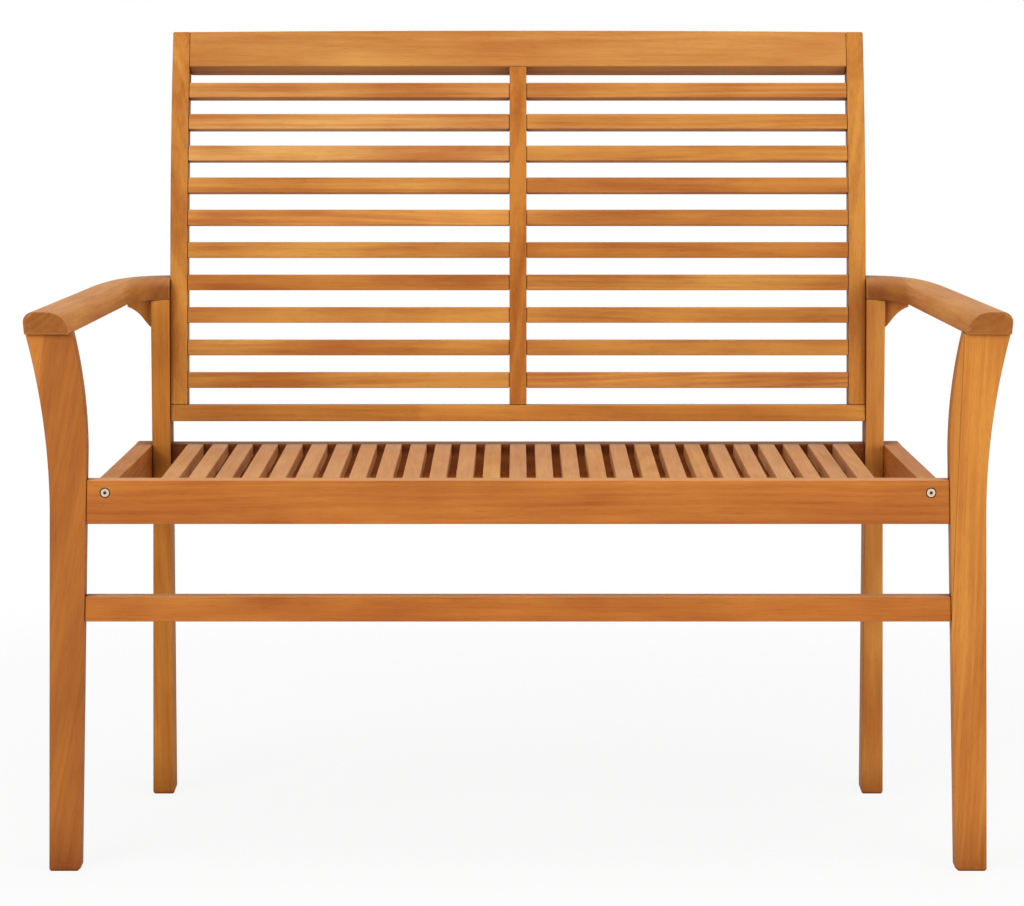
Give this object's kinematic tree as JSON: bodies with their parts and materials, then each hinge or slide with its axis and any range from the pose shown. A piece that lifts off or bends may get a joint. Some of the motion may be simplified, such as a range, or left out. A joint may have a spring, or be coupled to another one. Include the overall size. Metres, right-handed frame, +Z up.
{
  "type": "garden bench",
  "caption": "Teak garden bench with a slatted seat, a curved back of horizontal slats, splayed front legs and arms that turn in to the back.",
  "frame": {"origin": "on the floor, at the middle of the bench's width and depth", "axes": "+X to the sitter's left, which is the right side of the bench seen from the front; the front faces -Y; +Z up"},
  "size_m": [1.1204, 0.5408, 0.9472],
  "materials": {
    "teak_legs": "oiled teak, straight grain along the leg, satin",
    "teak_arms": "oiled teak with rounded upper edges, satin",
    "teak_rails": "oiled teak, straight grain along the rail, satin",
    "teak_back": "oiled golden teak, fine grain, satin",
    "teak_seat": "paler sanded teak, fine grain, satin",
    "steel": "bright plated steel with a hexagon socket"
  },
  "bodies": {
    "root": {"front_leg_left": "teak_legs", "front_leg_right": "teak_legs", "rear_leg_left": "teak_legs", "rear_leg_right": "teak_legs", "arm_bracket_left": "teak_legs", "arm_bracket_right": "teak_legs", "arm_left": "teak_arms", "arm_right": "teak_arms", "seat_front_rail": "teak_rails", "seat_side_rail_left": "teak_rails", "seat_side_rail_right": "teak_rails", "seat_rear_rail": "teak_rails", "seat_bearer": "teak_rails", "front_stretcher": "teak_rails", "back_bottom_rail": "teak_back", "back_stile_left": "teak_back", "back_stile_right": "teak_back", "back_middle_stile": "teak_back", "back_top_rail": "teak_back", "back_slats_row_1": "teak_back", "back_slats_row_2": "teak_back", "back_slats_row_3": "teak_back", "back_slats_row_4": "teak_back", "back_slats_row_5": "teak_back", "back_slats_row_6": "teak_back", "back_slats_row_7": "teak_back", "back_slats_row_8": "teak_back", "back_slats_row_9": "teak_back", "back_slats_row_10": "teak_back", "seat_slat_1": "teak_seat", "seat_slat_2": "teak_seat", "seat_slat_3": "teak_seat", "seat_slat_4": "teak_seat", "seat_slat_5": "teak_seat", "seat_slat_6": "teak_seat", "seat_slat_7": "teak_seat", "seat_slat_8": "teak_seat", "seat_slat_9": "teak_seat", "seat_slat_10": "teak_seat", "seat_slat_11": "teak_seat", "seat_slat_12": "teak_seat", "seat_slat_13": "teak_seat", "seat_slat_14": "teak_seat", "seat_slat_15": "teak_seat", "seat_slat_16": "teak_seat", "seat_slat_17": "teak_seat", "seat_slat_18": "teak_seat", "seat_slat_19": "teak_seat", "seat_slat_20": "teak_seat", "seat_slat_21": "teak_seat", "seat_slat_22": "teak_seat", "seat_slat_23": "teak_seat", "seat_slat_24": "teak_seat", "seat_slat_25": "teak_seat", "seat_slat_26": "teak_seat", "seat_slat_27": "teak_seat", "rail_bolts": "steel", "rail_cross_nuts": "steel", "side_rail_screws": "steel", "back_screws": "steel"}
  },
  "joints": []
}
